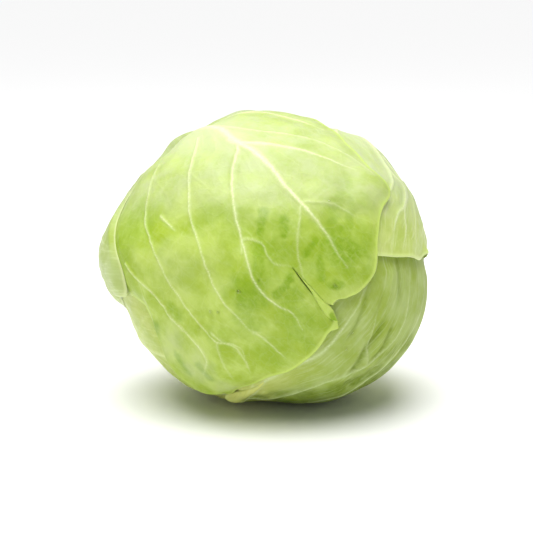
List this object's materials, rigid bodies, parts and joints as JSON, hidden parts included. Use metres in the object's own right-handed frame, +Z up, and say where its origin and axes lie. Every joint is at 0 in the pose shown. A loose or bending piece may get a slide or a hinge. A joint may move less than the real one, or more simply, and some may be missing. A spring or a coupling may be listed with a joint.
{
  "type": "cabbage head",
  "caption": "Dense round white cabbage head lying on its side, with smooth veined wrapper leaves that overlap round a packed heart and a short cut stem at the back",
  "frame": {"origin": "middle of the flat spot that the head rests on, on its underside", "axes": "+Z up, +X to the right and -Y to the front as the head lies; the head's own axis is level, from the stem at the back left to the apex at the front, turned 22 degrees to the right"},
  "size_m": [0.1721, 0.1493, 0.1519],
  "materials": {
    "heart": "moist pale yellow-green leaf, satin",
    "stem": "cut pale green stem, matt",
    "leaf_left_under": "fresh green leaf with a thin wax bloom, satin",
    "leaf_right_under": "greyish green leaf with fine pale ribs, satin",
    "leaf_right_over": "fresh pale green leaf with pale ribs, satin",
    "leaf_back_right": "fresh green leaf with pale ribs, satin",
    "leaf_front": "bright yellow-green leaf with white branching veins, satin",
    "leaf_back_left": "fresh pale green leaf with pale ribs, satin"
  },
  "bodies": {
    "root": {"heart": "heart", "stem": "stem", "leaf_left_under": "leaf_left_under", "leaf_right_under": "leaf_right_under", "leaf_right_over": "leaf_right_over", "leaf_back_right": "leaf_back_right", "leaf_front": "leaf_front", "leaf_back_left": "leaf_back_left"}
  },
  "joints": []
}
